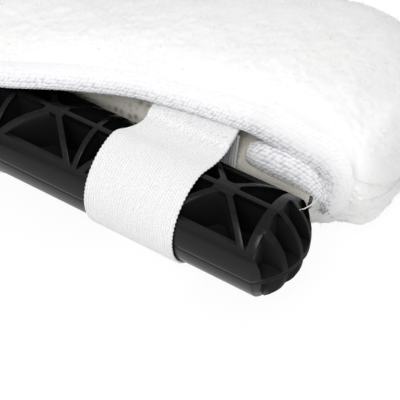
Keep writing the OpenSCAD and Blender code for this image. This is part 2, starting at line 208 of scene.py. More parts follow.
def addStudio():
    scene = bpy.context.scene
    scene.view_settings.view_transform = "Standard"
    world = bpy.data.worlds.new("studio")
    scene.world = world
    world.use_nodes = True
    tree = world.node_tree
    path = addNode(tree, "ShaderNodeLightPath")
    seen = addNode(tree, "ShaderNodeMath", {0: path.outputs["Is Camera Ray"],
                   1: path.outputs["Is Transmission Ray"]}, operation="MAXIMUM")
    strength = addNode(tree, "ShaderNodeMapRange", {"Value": seen.outputs[0], "To Min": studio["world"],
                       "To Max": 1.0})
    back = tree.nodes["Background"]
    back.inputs["Color"].default_value = linear("#ffffff")
    tree.links.new(strength.outputs[0], back.inputs["Strength"])
    for place, size, power in studio["lamps"]:
        data = bpy.data.lights.new("softbox", "AREA")
        data.energy = power
        data.size = size
        lamp = bpy.data.objects.new("softbox", data)
        lamp.location = place
        ahead = Vector(studio["aim"]) - Vector(place)
        lamp.rotation_euler = ahead.to_track_quat("-Z", "Y").to_euler()
        scene.collection.objects.link(lamp)
    bm = bmesh.new()
    bmesh.ops.create_grid(bm, x_segments=1, y_segments=1, size=studio["floorHalf"])
    material, tree, shader = newMaterial("matteFloor", Roughness=0.9)
    shader.inputs["Base Color"].default_value = linear(studio["floor"])
    glow = addNode(tree, "ShaderNodeEmission", {"Color": linear("#ffffff"),
                   "Strength": studio["floorGlow"]})
    path = addNode(tree, "ShaderNodeLightPath")
    seen = addNode(tree, "ShaderNodeMath", {0: path.outputs["Is Camera Ray"],
                   1: path.outputs["Is Glossy Ray"]}, operation="MAXIMUM")
    share = addNode(tree, "ShaderNodeMath", {0: seen.outputs[0], 1: studio["floorShare"]},
                    operation="MULTIPLY")
    mix = addNode(tree, "ShaderNodeMixShader", {"Fac": share.outputs[0], 1: shader.outputs[0],
                  2: glow.outputs[0]})
    tree.links.new(mix.outputs[0], tree.nodes["Material Output"].inputs["Surface"])
    meshObject("floor", bm, material)


addCamera()
addStudio()
print("camera and studio placed")


# Polypropylene and its like, injection moulded: satin, with flow lines along the part, a fine spark
# grain and pale dust and scuffs from use
def mouldedPlastic(name, base, pale, dust, roughness, grainBump, specular, pocketShadeAndMatt=None):
    material, tree, shader = newMaterial(name, IOR=1.49, Specular_IOR_Level=specular)
    place = addNode(tree, "ShaderNodeTexCoord").outputs["Object"]
    along = addNode(tree, "ShaderNodeMapping", {"Vector": place, "Scale": (60, 900, 900)})
    lines = addNode(tree, "ShaderNodeTexNoise", {"Vector": along.outputs[0], "Scale": 1.0,
                    "Detail": 3.0})
    grain = addNode(tree, "ShaderNodeTexNoise", {"Vector": place, "Scale": 2600.0, "Detail": 2.0})
    # Scuffs are short strokes, about 3 by 0.3 mm, in a few rubbed patches
    strokes = addNode(tree, "ShaderNodeMapping", {"Vector": place, "Rotation": (0.3, 0.5, 0.8),
                      "Scale": (260, 2600, 2600)})
    scuff = addNode(tree, "ShaderNodeTexNoise", {"Vector": strokes.outputs[0], "Scale": 1.0,
                    "Detail": 1.0})
    patch = addNode(tree, "ShaderNodeTexNoise", {"Vector": place, "Scale": 45.0, "Detail": 1.0})
    worn = addNode(tree, "ShaderNodeMath", {0: scuff.outputs["Fac"], 1: patch.outputs["Fac"]},
                   operation="MULTIPLY")
    wornShare = addNode(tree, "ShaderNodeMapRange", {"Value": worn.outputs[0], "From Min": 0.42,
                        "From Max": 0.52})
    colour = addNode(tree, "ShaderNodeMix", {0: wornShare.outputs[0],
                     6: ramp(tree, lines.outputs["Fac"], [(0.35, base), (0.8, pale)]), 7: linear(dust)},
                     data_type="RGBA")
    gloss = addNode(tree, "ShaderNodeMapRange", {"Value": lines.outputs["Fac"], "From Min": 0.3,
                    "From Max": 0.75, "To Min": roughness, "To Max": roughness + 0.14})
    if pocketShadeAndMatt:
        # Nearer to the axis than this, in the lattice's hollows, the finish is left matt and the colour
        # is darkened to near black as painted shade; only the outside keeps its polish and its own
        # colour
        off = addNode(tree, "ShaderNodeVectorMath", {0: place, 1: (0.0, 0.0, pocketShadeAndMatt["axis"] * mm)},
                      operation="SUBTRACT")
        flat = addNode(tree, "ShaderNodeVectorMath", {0: off.outputs[0], 1: (0.0, 1.0, 1.0)},
                       operation="MULTIPLY")
        far = addNode(tree, "ShaderNodeVectorMath", {0: flat.outputs[0]}, operation="LENGTH")
        outside = addNode(tree, "ShaderNodeMapRange", {"Value": far.outputs["Value"],
                          "From Min": pocketShadeAndMatt["deep"] * mm, "From Max": pocketShadeAndMatt["shallow"] * mm})
        # Painted shade: the colour darkens to near black in the hollows near the axis
        colour = addNode(tree, "ShaderNodeMix", {0: outside.outputs[0], 6: linear(pocketShadeAndMatt["colour"]),
                         7: colour.outputs[2]}, data_type="RGBA")
        gloss = addNode(tree, "ShaderNodeMapRange", {"Value": outside.outputs[0],
                        "To Min": pocketShadeAndMatt["roughness"], "To Max": gloss.outputs[0]})
    tree.links.new(colour.outputs[2], shader.inputs["Base Color"])
    tree.links.new(gloss.outputs[0], shader.inputs["Roughness"])
    bump = addNode(tree, "ShaderNodeBump", {"Height": grain.outputs["Fac"], "Strength": grainBump,
                   "Distance": 0.0001})
    tree.links.new(bump.outputs[0], shader.inputs["Normal"])
    return material


# Polyester cut pile: chalky white, painted a little greyer in the low places between its tufts as
# painted shade, with paler and greyer patches at random, and fluffy against the light
def cutPile():
    material, tree, shader = newMaterial("polyesterPile", Roughness=0.95, Sheen_Weight=0.35,
                                         Sheen_Roughness=0.6)
    place = addNode(tree, "ShaderNodeTexCoord").outputs["Object"]
    tufts = addNode(tree, "ShaderNodeTexNoise", {"Vector": place, "Scale": 900.0, "Detail": 4.0})
    patches = addNode(tree, "ShaderNodeTexNoise", {"Vector": place, "Scale": 30.0, "Detail": 2.0})
    # Painted shade: the colour follows the tuft noise that makes the bump, so the low places between
    # tufts come out greyer; the larger patches add random tone
    tuftShadeAndPatches = addNode(tree, "ShaderNodeMath", {0: tufts.outputs["Fac"], 1: patches.outputs["Fac"]},
                   operation="ADD")
    colour = ramp(tree, tuftShadeAndPatches.outputs[0], [(0.7, "#f5f5f4"), (1.0, "#fcfcfc")])
    tree.links.new(colour, shader.inputs["Base Color"])
    bump = addNode(tree, "ShaderNodeBump", {"Height": tufts.outputs["Fac"], "Strength": 0.2,
                   "Distance": 0.0006})
    tree.links.new(bump.outputs[0], shader.inputs["Normal"])
    return material


# Where the backing is a mesh, in metres off the middle: it starts and stops over a few millimetres
meshBand = {"starts": (0.076, 0.082), "stops": (0.126, 0.130)}


# Warp-knitted polyester backing: grey-beige and plain, with a dimple every 3 mm where it is a mesh, each
# darkened towards its middle as painted shade
def knitBacking():
    material, tree, shader = newMaterial("knittedBacking", Roughness=0.9, Sheen_Weight=0.2)
    place = addNode(tree, "ShaderNodeTexCoord").outputs["Object"]
    loops = addNode(tree, "ShaderNodeTexNoise", {"Vector": place, "Scale": 1400.0, "Detail": 2.0})
    cells = addNode(tree, "ShaderNodeTexVoronoi", {"Vector": place, "Scale": 330.0, "Randomness": 0.35})
    axes = addNode(tree, "ShaderNodeSeparateXYZ", {"Vector": place})
    off = addNode(tree, "ShaderNodeMath", {0: axes.outputs["X"]}, operation="ABSOLUTE")
    mesh = addNode(tree, "ShaderNodeMapRange", {"Value": off.outputs[0],
                   "From Min": meshBand["starts"][0], "From Max": meshBand["starts"][1]})
    plain = addNode(tree, "ShaderNodeMapRange", {"Value": off.outputs[0],
                    "From Min": meshBand["stops"][0], "From Max": meshBand["stops"][1],
                    "To Min": 1.0, "To Max": 0.0})
    share = addNode(tree, "ShaderNodeMath", {0: mesh.outputs[0], 1: plain.outputs[0]},
                    operation="MULTIPLY")
    # Painted shade: the mesh's dimple hollows are coloured darker, down to #b5b0a4 at their middles
    dimpleShade = ramp(tree, cells.outputs["Distance"], [(0.1, "#b5b0a4"), (0.5, "#f8f4e8")])
    cloth = ramp(tree, loops.outputs["Fac"], [(0.3, "#f0ecde"), (0.7, "#faf6ea")])
    colour = addNode(tree, "ShaderNodeMix", {0: share.outputs[0], 6: cloth, 7: dimpleShade},
                     data_type="RGBA")
    tree.links.new(colour.outputs[2], shader.inputs["Base Color"])
    deep = addNode(tree, "ShaderNodeMath", {0: cells.outputs["Distance"], 1: share.outputs[0]},
                   operation="MULTIPLY")
    height = addNode(tree, "ShaderNodeMath", {0: deep.outputs[0], 1: loops.outputs["Fac"]},
                     operation="ADD")
    bump = addNode(tree, "ShaderNodeBump", {"Height": height.outputs[0], "Strength": 0.6,
                   "Distance": 0.0006})
    tree.links.new(bump.outputs[0], shader.inputs["Normal"])
    return material


# The cells of a slanted lattice: how far a point of the uv map lies from its cell's middle, 0 to 0.7
def latticeDistance(tree, across, along):
    uv = addNode(tree, "ShaderNodeUVMap", uv_map="weave").outputs[0]
    x, y = (addNode(tree, "ShaderNodeVectorMath", {0: uv, 1: (*row, 0.0)}, operation="DOT_PRODUCT")
            for row in (across, along))
    place = addNode(tree, "ShaderNodeCombineXYZ", {"X": x.outputs["Value"], "Y": y.outputs["Value"]})
    cells = addNode(tree, "ShaderNodeTexVoronoi", {"Vector": place.outputs[0], "Scale": 1.0,
                    "Randomness": 0.42}, voronoi_dimensions="2D")
    return cells.outputs["Distance"]


# Knit of the binding tape: how a place on it, in mm, counts in cells across and along
knit = {"across": (0.714, -0.417), "along": (0.0, 0.833)}


# Knitted polyester binding tape: bright white loops 1.4 mm apart that slant over each other, with
# lilac-grey painted shade darkening the openings between them. The attribute "level" says how open the
# knit lies there, and so how much of this painted shade shows.
def knittedTape():
    material, tree, shader = newMaterial("knittedTape", Roughness=0.75, Sheen_Weight=0.25)
    knitGapsAndShade = latticeDistance(tree, knit["across"], knit["along"])
    # Painted shade: the openings between the loops are coloured lilac-grey, darkest at the cell edges
    loops = ramp(tree, knitGapsAndShade, [(0.22, "#fafafb"), (0.45, "#eeeef2"), (0.68, "#c6c6cf")])
    level = addNode(tree, "ShaderNodeAttribute", attribute_name="level").outputs["Fac"]
    colour = addNode(tree, "ShaderNodeMix", {0: level, 6: linear("#fafafb"), 7: loops},
                     data_type="RGBA")
    tree.links.new(colour.outputs[2], shader.inputs["Base Color"])
    height = addNode(tree, "ShaderNodeMath", {0: knitGapsAndShade, 1: level}, operation="MULTIPLY")
    bump = addNode(tree, "ShaderNodeBump", {"Height": height.outputs[0], "Strength": 0.6,
                   "Distance": 0.0005}, invert=True)
    tree.links.new(bump.outputs[0], shader.inputs["Normal"])
    return material


# Knitted elastic: matt white, its wales run round the loop and its courses leave a small dimple at each
# cell, each painted darker at its middle as painted shade. One unit of the uv map is one wale across and
# one millimetre along.
def knittedElastic():
    material, tree, shader = newMaterial("knittedElastic", Roughness=0.8, Sheen_Weight=0.2)
    dimpleReliefAndShade = latticeDistance(tree, (1.0, 0.0), (-0.5, 0.95))
    # Painted shade: each dimple's middle is coloured darker grey (#d4d4d4)
    colour = ramp(tree, dimpleReliefAndShade, [(0.08, "#d4d4d4"), (0.3, "#f4f4f4")])
    tree.links.new(colour, shader.inputs["Base Color"])
    bump = addNode(tree, "ShaderNodeBump", {"Height": dimpleReliefAndShade, "Strength": 0.4, "Distance": 0.0003})
    tree.links.new(bump.outputs[0], shader.inputs["Normal"])
    return material


# Spun polyester sewing thread: satin, with the faint streaks of its twist
def sewingThread(name, light, dark):
    material, tree, shader = newMaterial(name, Roughness=0.6, Sheen_Weight=0.3)
    place = addNode(tree, "ShaderNodeTexCoord").outputs["Object"]
    twist = addNode(tree, "ShaderNodeTexNoise", {"Vector": place, "Scale": 1800.0, "Detail": 1.0})
    colour = ramp(tree, twist.outputs["Fac"], [(0.3, dark), (0.7, light)])
    tree.links.new(colour, shader.inputs["Base Color"])
    return material


# Plated, rolled and turned metals, with the fine uneven gloss of handling
def plainMetal(name, colourHex, darkHex, roughness):
    material, tree, shader = newMaterial(name, Metallic=1.0)
    place = addNode(tree, "ShaderNodeTexCoord").outputs["Object"]
    grain = addNode(tree, "ShaderNodeTexNoise", {"Vector": place, "Scale": 1500.0, "Detail": 3.0})
    stain = addNode(tree, "ShaderNodeTexNoise", {"Vector": place, "Scale": 160.0, "Detail": 3.0})
    tree.links.new(ramp(tree, stain.outputs["Fac"], [(0.35, darkHex), (0.6, colourHex)]),
                   shader.inputs["Base Color"])
    gloss = addNode(tree, "ShaderNodeMapRange", {"Value": grain.outputs["Fac"],
                    "To Min": roughness - 0.08, "To Max": roughness + 0.1})
    tree.links.new(gloss.outputs[0], shader.inputs["Roughness"])
    return material


blackPlastic = mouldedPlastic("mouldedPolypropylene", "#080809", "#111112", "#303031", 0.3, 0.15, 0.27)
# The lattice's hollows get painted shade (a near-black colour) and a matt finish
latticePlastic = mouldedPlastic(
    "latticePolypropylene", "#080809", "#111112", "#303031", 0.22, 0.12, 0.3,
    {"axis": 24.0, "deep": 14.5, "shallow": 17.2, "colour": "#030303", "roughness": 0.75})
knobPlastic = mouldedPlastic("texturedKnobPlastic", "#18181a", "#202023", "#3a3a3c", 0.45, 0.4, 0.4)
gripRubber = mouldedPlastic("softGripRubber", "#2b2c2f", "#35363a", "#55565a", 0.62, 0.7, 0.4)
washerNylon = mouldedPlastic("washerNylon", "#d5d6d2", "#e2e3df", "#b9bab6", 0.4, 0.1, 0.5)
steel = plainMetal("zincPlatedSteel", "#c3c6ca", "#a3a6aa", 0.32)
brass = plainMetal("turnedBrass", "#b8954b", "#97783a", 0.28)
pile = cutPile()
backing = knitBacking()
tape = knittedTape()
elastic = knittedElastic()
whiteThread = sewingThread("polyesterThread", "#fbfbfd", "#e6e6ee")
greyThread = sewingThread("frayedThread", "#d2d2d6", "#77777d")
print("materials made")

# Rigid pieces are the CAD's own shapes with their edges rounded, as the mould or the tool leaves them
hardware = {
    # node: piece, body, slot, material, edge radius in mm
    "lattice_bar": ("latticeBar", "bar", "moulded_plastic", latticePlastic, 0.28),
    "swivel_head": ("swivelHead", "handle", "moulded_plastic", blackPlastic, 0.5),
    "handle_tube": ("handleTube", "handle", "moulded_plastic", blackPlastic, 0.3),
    "grip_ring": ("gripRing", "handle", "moulded_plastic", blackPlastic, 0.6),
    "pole_socket": ("poleSocket", "handle", "moulded_plastic", blackPlastic, 0.5),
    "rubber_grip": ("rubberGrip", "handle", "grip_rubber", gripRubber, 0.25),
    "tension_knob": ("tensionKnob", "knob", "knob_plastic", knobPlastic, 0.7),
    "knob_nut": ("knobNut", "knob", "brass", brass, 0.25),
    "pivot_bolt": ("pivotBolt", "bar", "steel", steel, 0.35),
    "wear_washers": ("wearWashers", "bar", "nylon", washerNylon, 0.15),
    "knob_washer": ("knobWasher", "bar", "steel", steel, 0.15),
    "handle_screws": ("handleScrews", "handle", "steel", steel, 0.2),
}
rounding = {"flat": 0.6, "sharp": 28.0, "shade": 40}  # angles in degrees
# The groove keeps clear of the hub and of the web, and "upright" leaves out walls that lean more
parting = {"height": 24.0, "half": 0.22, "depth": 0.16, "web": 13.5, "hub": 22.5, "endFrom": 160.0,
           "faceFrom": 163.0, "upright": 0.35}


# The two halves of the mould leave a fine groove round the bar at mid height
def cutPartingLine(bm):
    for z in (-parting["half"], 0.0, parting["half"]):
        bmesh.ops.bisect_plane(bm, geom=bm.verts[:] + bm.edges[:] + bm.faces[:], dist=1e-7,
                               plane_co=(0, 0, (parting["height"] + z) * mm), plane_no=(0, 0, 1))
    bm.normal_update()
    for v in bm.verts:
        far = abs(v.co.x)
        off = math.hypot(v.co.y, max(0.0, far - parting["endFrom"] * mm))
        level = abs(v.co.z - parting["height"] * mm) < 1e-6
        if level and off > parting["web"] * mm and far > parting["hub"] * mm:
            outside = Vector((v.co.x if far > parting["faceFrom"] * mm else 0, v.co.y, 0))
            if abs(v.normal.z) < parting["upright"] and v.normal.dot(outside) > 0:
                v.co -= v.normal * parting["depth"] * mm


def roundedCopy(nodeName, name, body, slotName, material, radius):
    bm = bmesh.new()
    bm.from_mesh(nodes[nodeName].data)
    bmesh.ops.remove_doubles(bm, verts=bm.verts, dist=1e-6)
    bmesh.ops.dissolve_limit(bm, angle_limit=math.radians(rounding["flat"]), verts=bm.verts,
                             edges=bm.edges)
    sharp = [e for e in bm.edges
             if len(e.link_faces) == 2 and e.calc_face_angle(0) > math.radians(rounding["sharp"])]
    bmesh.ops.bevel(bm, geom=sharp, offset=radius * mm, segments=2, profile=0.5, affect="EDGES",
                    material=-1, clamp_overlap=True)
    if nodeName == "lattice_bar":
        cutPartingLine(bm)
    obj = meshObject(name, bm, material)
    return finishPiece(obj, body, slotName, [nodeName], sharpAngle=rounding["shade"])


for nodeName, (name, body, slotName, material, radius) in hardware.items():
    roundedCopy(nodeName, name, body, slotName, material, radius)
print("rigid pieces rounded")

bar = {"axisZ": 24.0, "half": 173.7}
sleeve = {
    # share of the bar's half length, then angle and distance of the upper edge from the bar's axis
    # and its slope into the sleeve, then the same for the lower edge
    "edges": [
        (0.00, 135, 28.3, 60, 219, 27.5, -45), (0.15, 117, 24.5, 42, 240, 22.2, -25),
        (0.29, 91, 22.6, 30, 264, 21.2, -5), (0.43, 67, 26.6, 42, 300, 22.2, -10),
        (0.57, 52, 31.7, 50, 320, 27.5, -28), (0.78, 45.5, 36.0, 50, 325, 30.0, -32),
        (0.83, 39, 35.8, 52, 328, 30.0, -38), (0.92, 31, 34.3, 60, 337, 29.5, -52),
        (1.00, 18, 31.0, 75, 352, 31.8, -72), (1.03, 14, 30.0, 80, 354, 31.8, -76)],
    # the same share, then the reach behind the bar's axis, the height of the back edge, and the pull
    # up to the crown and down to the floor
    "backs": [
        (0.00, 66.0, -4, 26, -36), (0.29, 80.08, -4, 26, -36), (0.57, 101.2, -3, 27, -36),
        (0.78, 110.0, -2, 32, -36), (0.90, 107.0, -1, 31, -28.8), (1.01, 94.0, -1, 20, -9)],
    "slit": 163.0, "tape": 10.0, "tapeFull": 0.24, "tuck": 0.6, "pile": 8.0, "base": 5.6, "lining": 0.8,
    "pocket": 174.3, "end": 9.0, "upperPull": 16.0, "lowerPull": 14.0,
    "steps": (380, 260), "endSteps": 18, "outerShare": 0.74, "into": 0.022, "frontRound": (0.15, 0.35),
    "wrap": (148.0, 156.0, 0.15), "upperSpeed": 96.0, "lowerSpeed": 84.0,
    "endMiddle": (62.0, 20.0), "endWide": 0.5, "endHigh": 0.36,
    "seamShare": 0.14, "seamReach": 0.09, "crowd": 0.55, "faceRings": 5, "faceStep": 0.15,
    # depth in mm and spacing of the pile's tufts, of their soft waves and of their fine grain
    "tuft": 0.6, "tuftPitch": 0.42, "tuftGain": 1.4, "tuftPower": 1.5, "soft": 0.5, "softPitch": 0.11,
    "fine": 0.22, "finePitch": 1.3,
}


def smoothRow(rows, u, c):
    i = 0
    while i < len(rows) - 2 and u >= rows[i + 1][0]:
        i += 1

    def slope(k):
        if k in (0, len(rows) - 1):
            return 0.0
        return (rows[k + 1][c] - rows[k - 1][c]) / (rows[k + 1][0] - rows[k - 1][0])

    w = rows[i + 1][0] - rows[i][0]
    t = min(1.0, max(0.0, (u - rows[i][0]) / w))
    return (rows[i][c] * (2 * t ** 3 - 3 * t * t + 1) + rows[i + 1][c] * (3 * t * t - 2 * t ** 3)
            + w * slope(i) * (t ** 3 - 2 * t * t + t) + w * slope(i + 1) * (t ** 3 - t * t))


def heading(degrees):
    return Vector((math.cos(math.radians(degrees)), math.sin(math.radians(degrees))))


def edgeMiddle(x, side):
    u = abs(x) / bar["half"]
    return heading(smoothRow(sleeve["edges"], u, side)) * smoothRow(sleeve["edges"], u, side + 1)


def edgeHeading(x, side):
    return heading(smoothRow(sleeve["edges"], abs(x) / bar["half"], side + 2))


def tapeHalf(x, side):
    full = sleeve["tapeFull"] * min(1.0, max(0.0, 5 * abs(x) / bar["half"] - 3.5)) if side == 1 else 0.0
    return sleeve["tape"] / 2 * (1 + full)


stationCache = {}


# The sleeve's section at x: two curves, from the upper edge to the back and on to the lower edge
def station(x):
    key = round(x, 4)
    if key not in stationCache:
        u = abs(x) / bar["half"]
        up, low = edgeHeading(x, 1), edgeHeading(x, 4)
        start = edgeMiddle(x, 1) + up * (tapeHalf(x, 1) + sleeve["tuck"])
        end = edgeMiddle(x, 4) + low * (tapeHalf(x, 4) + sleeve["tuck"])
        reach, height, crown, floor = (smoothRow(sleeve["backs"], u, c) for c in (1, 2, 3, 4))
        back = Vector((reach, height))
        stationCache[key] = (
            (start, start + up * sleeve["upperPull"], Vector((reach, crown)), back),
            (back, Vector((reach, floor)), end + low * sleeve["lowerPull"], end))
    return stationCache[key]


def bezierAt(points, t):
    a, b, c, d = points
    return a * (1 - t) ** 3 + b * 3 * t * (1 - t) ** 2 + c * 3 * t * t * (1 - t) + d * t ** 3


def wallThickness(s):
    share = min(1.0, max(0.0, (s - 0.4) / 0.2))
    return sleeve["pile"] + (sleeve["base"] - sleeve["pile"]) * share


def wallMiddle(x, s):
    first, second = station(x)
    if s < 0:
        p = first[0] + (first[1] - first[0]).normalized() * sleeve["upperSpeed"] * s
    elif s > 1:
        p = second[3] + (second[3] - second[2]).normalized() * sleeve["lowerSpeed"] * (s - 1)
    else:
        p = bezierAt(first, 2 * s) if s < 0.5 else bezierAt(second, 2 * s - 1)
    return Vector((p.x, max(p.y, wallThickness(s) / 2 - bar["axisZ"])))


# A point off the wall's middle by h of its half thickness and by a further e millimetres
def wallPoint(x, s, h, e=0.0):
    d = wallMiddle(x, s + 0.01) - wallMiddle(x, s - 0.01)
    p = wallMiddle(x, s) + Vector((-d.y, d.x)).normalized() * (h * wallThickness(s) / 2 + e)
    return Vector((x, p.x, max(0.0, p.y + bar["axisZ"])))


# How far the lower pile wraps up over the slit's ends, as a share of the wall
def wrapped(x):
    low, high, share = sleeve["wrap"]
    return share * easy(low, high, abs(x))


# The pile starts inside the tape's edge, where the seam holds it flat, and opens to its full height.
# There is no seam any more where the section has turned into the rounded end.
def pinch(s, x, turn=0.0):
    near = min(s, 1 + wrapped(x) - s)
    share = easy(-sleeve["into"], sleeve["seamReach"], near)
    share += (1 - share) * math.sin(min(math.pi / 2, 2 * turn))
    return sleeve["seamShare"] + (1 - sleeve["seamShare"]) * share


# Sections from end to end: x, then how far the section has turned into the rounded end, and whether
# the pocket is open there
def sleeveStations():
    inside = [(x, 0.0, abs(x) < sleeve["slit"])
              for x in spread(-sleeve["pocket"], sleeve["pocket"], sleeve["steps"][0])]
    turns = [math.radians(90) * i / sleeve["endSteps"] for i in range(sleeve["endSteps"] + 1)]
    right = [(sleeve["pocket"] + sleeve["end"] * math.sin(t), t, False) for t in turns]
    # A turn of over 90 degrees stands for a ring on the end's face
    rings = sleeve["faceRings"]
    right += [(right[-1][0] + sleeve["faceStep"] * i, turns[-1] + i / rings, False)
              for i in range(1, rings)]
    left = [(-x, t, False) for x, t, isOpen in reversed(right)]
    return left + inside + right


# Share along the wall, finer near its two edges
def edgeShare(t, x):
    s = t - 0.5 * math.sin(2 * math.pi * t) / math.pi * sleeve["crowd"]
    return -sleeve["into"] + (1 + 2 * sleeve["into"] + wrapped(x)) * s


def sleevePoint(x, turn, isOpen, b):
    edge = sleeve["outerShare"]
    side = 1 if x > 0 else -1
    onFace = max(0.0, turn - math.pi / 2)
    turn -= onFace
    section = side * min(abs(x), sleeve["pocket"])
    b = closedShare(b)
    if b <= edge:
        s = edgeShare(b / edge, section)
        p = wallPoint(section, s, pinch(s, section, turn))
    elif isOpen:
        s = edgeShare(1 - (b - edge) / (1 - edge), section)
        p = wallPoint(section, s, -pinch(s, section), sleeve["lining"] + 0.4)
    else:
        # The closed front joins the wall's two edges in one round sweep
        ends = []
        for s, back in ((edgeShare(1.0, section), -0.02), (edgeShare(0.0, section), 0.02)):
            h = pinch(s, section, turn)
            tip = wallPoint(section, s, h)
            ends.append((tip, (tip - wallPoint(section, s + back, h)).normalized()))
        (low, lowAhead), (high, highAhead) = ends
        flat, turned = sleeve["frontRound"]
        reach = (high - low).length * (flat + turned * math.sin(turn))
        p = bezierAt((low, low + lowAhead * reach, high + highAhead * reach, high),
                     (b - edge) / (1 - edge))
    if turn == 0.0:
        return Vector((x, p.y, p.z))
    middle = sleeve["endMiddle"]
    wide = (sleeve["endWide"] + (1 - sleeve["endWide"]) * math.cos(turn)) * (1 - onFace)
    high = (sleeve["endHigh"] + (1 - sleeve["endHigh"]) * math.cos(turn)) * (1 - onFace)
    return Vector((x, middle[0] + (p.y - middle[0]) * wide, middle[1] + (p.z - middle[1]) * high))


def makeSleeve():
    stations = sleeveStations()
    last = len(stations) - 1
    edge = sleeve["outerShare"]

    def place(a, b):
        x, turn, isOpen = stations[round(a * last)]
        return sleevePoint(x, turn, isOpen, b)

    # How far the pile stands free: not on the pocket's side, and not where the seam holds it
    def levelOf(a, b):
        if b > edge:
            return 0.0 if stations[round(a * last)][2] else 1.0
        x = stations[round(a * last)][0]
        s = edgeShare(b / edge, x)
        return easy(0.0, sleeve["seamReach"], min(s, 1 + wrapped(x) - s))

    bm = laidGrid(last, sleeve["steps"][1], place, levelOf=levelOf)
    closeShell(bm)
    level = bm.verts.layers.float["level"]
    for v in bm.verts:
        if v[level] <= 0.0:
            continue
        p = v.co * 1000
        lump = min(1.0, noise.voronoi(p * sleeve["tuftPitch"])[0][0] * sleeve["tuftGain"])
        soft = noise.noise(p * sleeve["softPitch"])
        fine = noise.noise(p * sleeve["finePitch"])
        depth = (sleeve["tuft"] * lump ** sleeve["tuftPower"] + sleeve["soft"] + sleeve["soft"] * soft
                 + sleeve["fine"] * fine)
        v.co -= v.normal * mm * depth * v[level]
        v.co.z = max(v.co.z, 0.0)
    obj = meshObject("pileSleeve", bm, pile)
    return finishPiece(obj, "bar", "pile", ["pile_sleeve"])


# The lining follows the pocket's wall, and puffs up in a loose fold behind the bar
puff = {"from": 0.62, "to": 0.985, "reach": 162.6,
        # points of the fold from the lower tape to the back: y, height from the bar's axis
        "line": [(20.4, -12.0), (21.6, 2.0), (26.0, 9.5), (37.0, 10.5), (54.0, -3.0)],
        "fade": (22.0, 50.0), "drop": (154.0, 166.0, -6.0), "rise": 0.16, "fall": 0.72, "spent": 0.8,
        "wave": 0.8, "wavePitch": (0.05, 9), "steps": (260, 150), "margin": 0.015}


def foldPoint(x, q):
    p = lineAt(puff["line"], q)
    low, high, drop = puff["drop"]
    p.y += drop * easy(low, high, abs(x))
    return p


def liningPoint(x, s):
    p = wallPoint(x, s, -pinch(s, x), sleeve["lining"] / 2)
    if s > puff["from"]:
        q = (puff["to"] - s) / (puff["to"] - puff["from"])
        weight = (easy(0.0, puff["rise"], q) * (1 - easy(puff["fall"], 1.0, q))
                  * easy(*puff["fade"], abs(x)))
        target = foldPoint(x, min(1.0, max(0.0, q / puff["spent"])))
        pitchX, pitchS = puff["wavePitch"]
        wave = puff["wave"] * noise.noise(Vector((x * pitchX, s * pitchS, 2.0)))
        p = p.lerp(Vector((x, target.x + wave, target.y + bar["axisZ"] + wave)), weight)
    return p


def makeLining():
    reach, margin = puff["reach"], puff["margin"]
    bm = laidGrid(*puff["steps"],
                  lambda a, b: liningPoint((2 * a - 1) * reach, margin + (1 - 2 * margin) * b))
    obj = meshObject("sleeveLining", bm, backing)
    return finishPiece(obj, "bar", "lining_knit", ["sleeve_lining"])


pileSleeve = makeSleeve()
liningPiece = makeLining()
print("sleeve laid")

tufts = {"perSquareMetre": 110000, "seed": 7, "length": 1.7, "width": 0.32, "lean": 0.5,
         "tip": 0.02, "out": 0.28, "sizes": (0.55, 1.15)}


